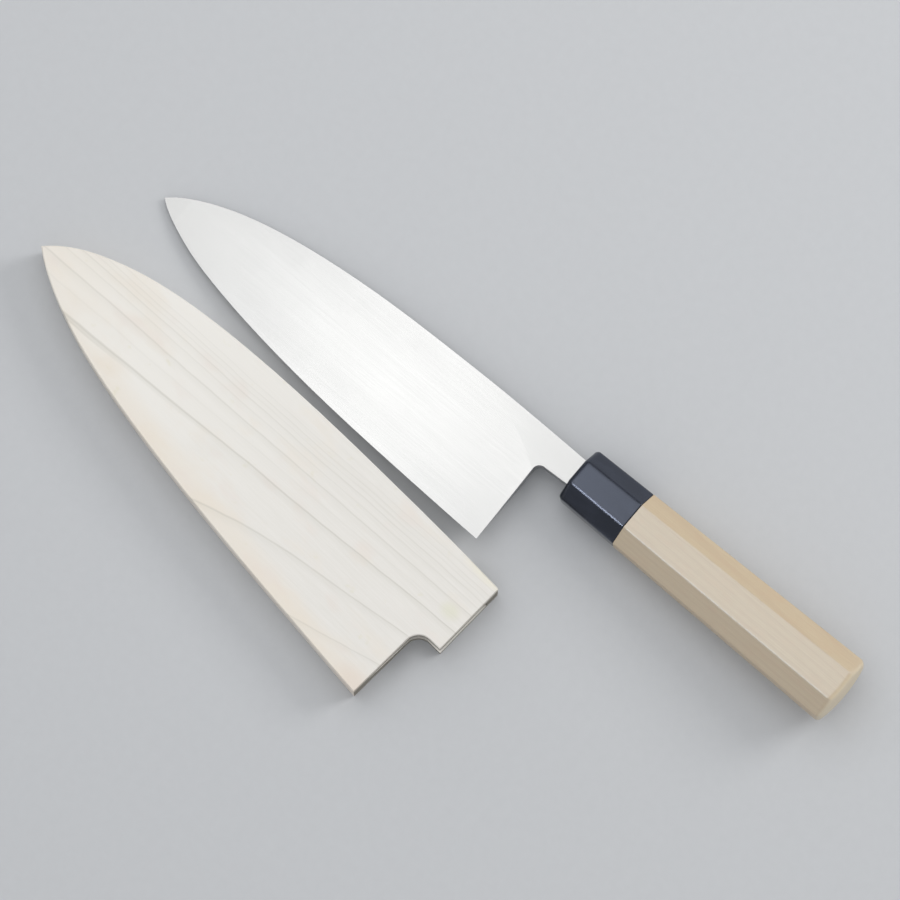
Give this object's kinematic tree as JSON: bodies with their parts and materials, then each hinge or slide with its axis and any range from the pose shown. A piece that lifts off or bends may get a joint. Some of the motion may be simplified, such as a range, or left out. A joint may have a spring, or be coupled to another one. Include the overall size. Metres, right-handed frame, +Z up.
{
  "type": "deba knife",
  "caption": "Single-bevel deba kitchen knife with a wide, thick blade, horn ferrule and octagonal wooden handle, and its stepped wooden sheath lying beside it.",
  "frame": {"origin": "on the resting surface, at the centre of the outline of the knife and its sheath together", "axes": "+X from the knife's tip towards the butt of its handle, +Y from the cutting edge towards the spine, +Z up from the resting surface, out of the blade's hollow back"},
  "size_m": [0.3468, 0.1337, 0.0309],
  "materials": {
    "soft_iron": "satin, ground lengthwise",
    "hard_steel": "fine satin, brighter than the iron",
    "horn": "polished black horn",
    "handle_wood": "smooth, unvarnished, fine straight grain",
    "sheath_wood": "smooth, unvarnished, very pale with faint grey-green grain lines"
  },
  "bodies": {
    "knife": {"blade_body": "soft_iron", "cutting_steel": "hard_steel", "ferrule": "horn", "handle": "handle_wood"},
    "sheath": {"sheath_back_board": "sheath_wood", "sheath_front_board": "sheath_wood"}
  },
  "joints": [
    {"name": "sheath_draw", "type": "slide", "parent": "knife", "child": "sheath", "axis": [-0.9976, 0.0687, 0], "range_m": [0, 0.19]}
  ]
}
